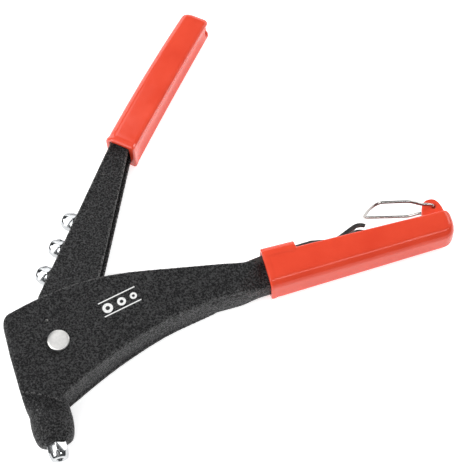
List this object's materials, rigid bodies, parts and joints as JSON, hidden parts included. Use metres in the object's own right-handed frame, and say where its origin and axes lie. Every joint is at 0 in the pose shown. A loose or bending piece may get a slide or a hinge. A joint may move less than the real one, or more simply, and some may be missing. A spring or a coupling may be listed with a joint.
{
  "type": "hand riveter",
  "caption": "Hand riveter with a black channel body, hinged handle, red vinyl grips, chrome nosepieces, stored spanner and a wire latch.",
  "frame": {"origin": "centre of the tool's outline on the surface it lies on, so the back face rests at Z = 0", "axes": "+X along the fixed handle towards its free end, -Y the way the snout points, +Z through the thickness, out of the face that carries the pivot pin's head"},
  "size_m": [0.2702, 0.2696, 0.0248],
  "materials": {
    "wrinkle_black": "black wrinkle coat",
    "handle_black": "black wrinkle coat, slightly finer",
    "red_vinyl": "dipped vinyl, glossy",
    "chrome": "bright chrome",
    "bright_pin": "satin zinc",
    "steel": "turned steel",
    "dark_steel": "oiled dark steel",
    "wire": "drawn bright wire",
    "white_print": "white screen-printed mark"
  },
  "bodies": {
    "root": {"body_frame": "wrinkle_black", "fixed_grip": "red_vinyl", "nosepiece_fitted": "chrome", "spring_guide": "steel", "pivot_pin": "bright_pin", "retaining_ring": "dark_steel", "stop_pin": "dark_steel", "jaw_spring": "steel"},
    "handle": {"moving_handle": "handle_black", "moving_grip": "red_vinyl", "spare_nosepiece_1": "chrome", "spare_nosepiece_2": "chrome", "spare_nosepiece_3": "chrome"},
    "jaw_carriage": {"jaw_case": "steel", "jaw_pusher": "steel", "pull_tube": "steel", "lock_nut": "steel", "jaw_1": "dark_steel", "jaw_2": "dark_steel", "jaw_3": "dark_steel"},
    "latch": {"wire_latch": "wire"},
    "stored_spanner": {"spanner": "dark_steel"}
  },
  "joints": [
    {"name": "handle_swing", "type": "hinge", "parent": "root", "child": "handle", "pos_m": [-0.1058, -0.06943, 0.0115], "axis": [0, 0, 1], "range_deg": [-42, 0], "stiffness_Nm_per_rad": 0.5, "springref_deg": 8.59},
    {"name": "jaw_pull", "type": "slide", "parent": "root", "child": "jaw_carriage", "axis": [0, 1, 0], "range_m": [0, 0.0105], "deforming": ["jaw_spring"]},
    {"name": "latch_swing", "type": "hinge", "parent": "root", "child": "latch", "pos_m": [0.1284, -0.04023, 0.0115], "axis": [0, 0, 1], "range_deg": [-150, 0]},
    {"name": "spanner_slide", "type": "slide", "parent": "root", "child": "stored_spanner", "axis": [1, 0, 0], "range_m": [0, 0.028]}
  ],
  "couplings": [
    {"joint": "jaw_pull", "follows": "handle_swing", "m_per_rad": -0.0142}
  ]
}
